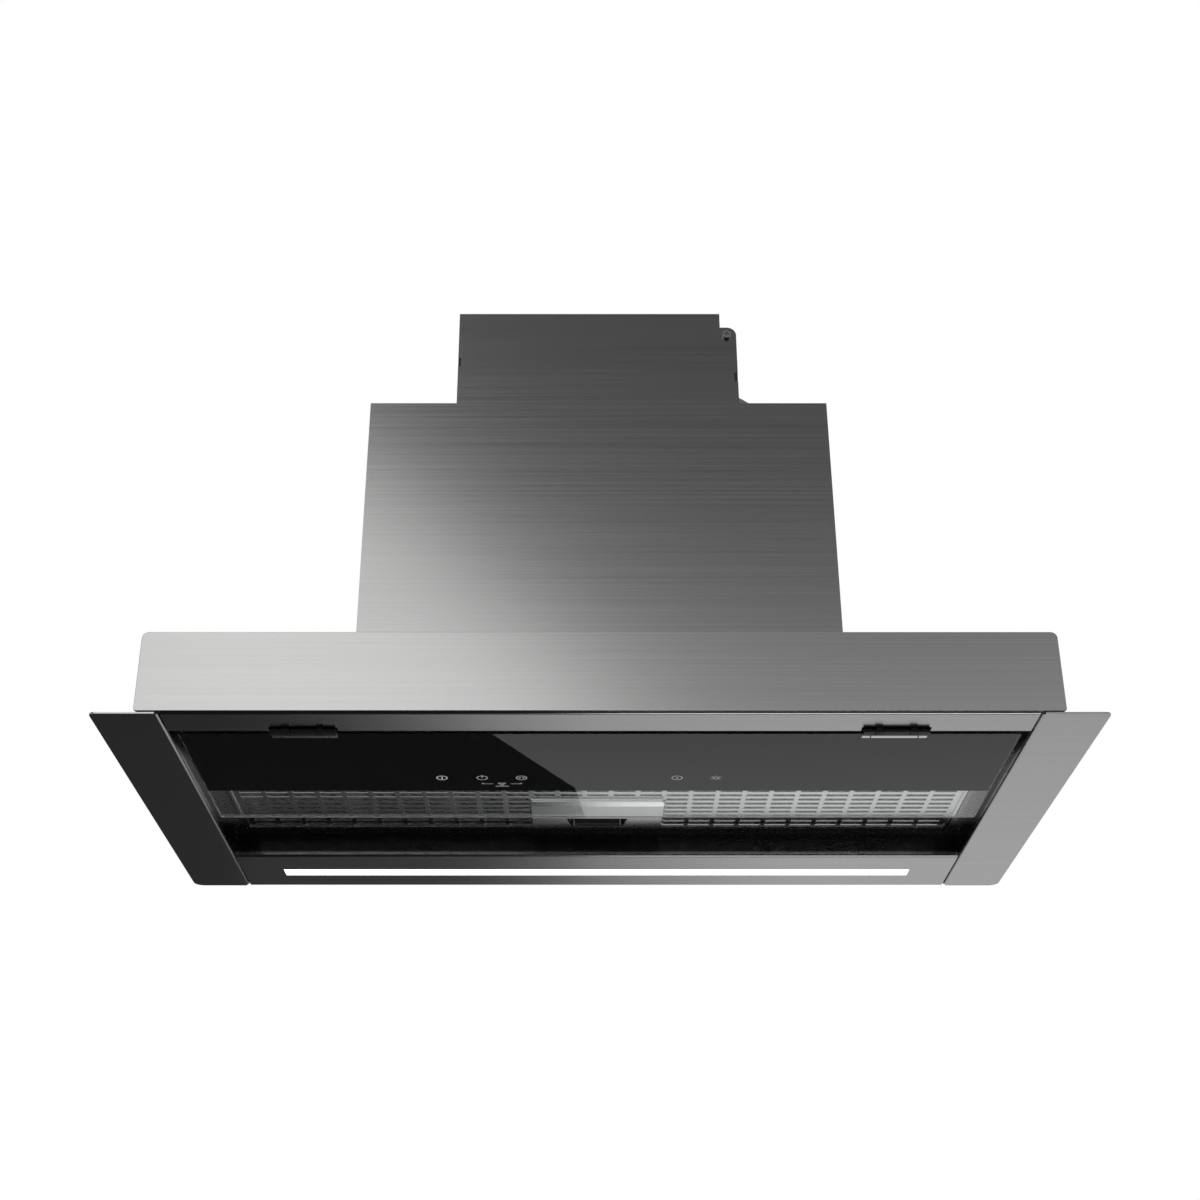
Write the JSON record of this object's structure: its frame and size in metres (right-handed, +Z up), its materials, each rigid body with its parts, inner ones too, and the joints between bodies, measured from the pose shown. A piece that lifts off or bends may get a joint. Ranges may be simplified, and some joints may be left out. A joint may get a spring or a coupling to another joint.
{
  "type": "integrated range hood",
  "caption": "Built-in range hood with a brushed steel fascia, a swing-down glass control panel, a grease filter, a light window and a motor box with a round duct spigot.",
  "frame": {"origin": "middle of the hood's width and depth, at the level of the lowest hinge knuckles", "axes": "+X to the right seen from in front, +Y from the fascia towards the wall, +Z up towards the duct"},
  "size_m": [0.598, 0.3274, 0.3017],
  "materials": {
    "brushed_face": "fine horizontal brush",
    "folded_sheet": "plain mill sheet",
    "foam": "matt foam",
    "light_window": "frosted, lit from behind",
    "circuit_board": "coated board",
    "filter_metal": "satin",
    "white_plastic": "moulded",
    "black_plastic": "moulded",
    "galvanised": "galvanised",
    "bright_steel": "bright",
    "copper_winding": "varnished winding",
    "bronze": "sintered",
    "cable_sheath": "smooth",
    "hinge_black": "black coated",
    "clear_glass": "polished",
    "black_enamel": "fired on glass"
  },
  "bodies": {
    "body": {"front_fascia": "brushed_face", "front_strip": "brushed_face", "rear_light_bar": "brushed_face", "side_plate_left": "brushed_face", "side_plate_right": "brushed_face", "chimney_front": "brushed_face", "tray_body": "folded_sheet", "inner_ceiling": "folded_sheet", "motor_box_body": "folded_sheet", "motor_box_top": "folded_sheet", "shroud_body": "folded_sheet", "fascia_tape": "foam", "led_diffuser": "light_window", "led_board": "circuit_board", "power_board": "circuit_board", "filter_frame": "filter_metal", "filter_grille": "filter_metal", "filter_mesh": "filter_metal", "filter_grid": "filter_metal", "filter_handle": "filter_metal", "led_channel": "filter_metal", "flap_rod": "filter_metal", "led_driver": "white_plastic", "capacitor": "white_plastic", "edge_clips": "black_plastic", "inlet_ring_front": "black_plastic", "inlet_ring_rear": "black_plastic", "control_box": "black_plastic", "control_lid": "black_plastic", "cable_gland": "black_plastic", "outlet_collar": "black_plastic", "scroll_front": "galvanised", "scroll_rear": "galvanised", "inlet_guard": "galvanised", "motor_spider": "galvanised", "capacitor_clip": "galvanised", "motor_cap": "galvanised", "motor_can": "galvanised", "pan_screws": "bright_steel", "hinge_pins": "bright_steel", "latch_spring": "bright_steel", "motor_stator": "copper_winding", "shaft_bushes": "bronze", "motor_lead": "cable_sheath", "hinge_base_left": "hinge_black", "hinge_base_right": "hinge_black"},
    "panel": {"glass_panel": "clear_glass", "enamel_layer": "black_enamel", "touch_module": "black_plastic", "hinge_arm_left": "hinge_black", "hinge_arm_right": "hinge_black", "glass_clips": "bright_steel"},
    "latch": {"latch_slide": "black_plastic"},
    "impeller": {"impeller": "black_plastic", "motor_shaft": "bright_steel", "motor_rotor": "galvanised"},
    "flap_front": {"flap_front": "black_plastic"},
    "flap_rear": {"flap_rear": "black_plastic"}
  },
  "joints": [
    {"name": "panel_swing", "type": "hinge", "parent": "body", "child": "panel", "pos_m": [0, -0.13905, 0.0025], "axis": [-1, 0, 0], "range_deg": [0, 90]},
    {"name": "latch_release", "type": "slide", "parent": "body", "child": "latch", "axis": [0, -1, 0], "range_m": [0, 0.004], "stiffness_N_per_m": 500, "springref_m": -0.003, "deforming": ["latch_spring"]},
    {"name": "impeller_spin", "type": "hinge", "parent": "body", "child": "impeller", "pos_m": [0.0414, -0.06375, 0.1641], "axis": [0, 1, 0], "continuous": true},
    {"name": "flap_front_swing", "type": "hinge", "parent": "body", "child": "flap_front", "pos_m": [-0.0056, -0.06375, 0.2721], "axis": [-1, 0, 0], "range_deg": [0, 75]},
    {"name": "flap_rear_swing", "type": "hinge", "parent": "body", "child": "flap_rear", "pos_m": [-0.0056, -0.06375, 0.2721], "axis": [1, 0, 0], "range_deg": [0, 75]}
  ]
}
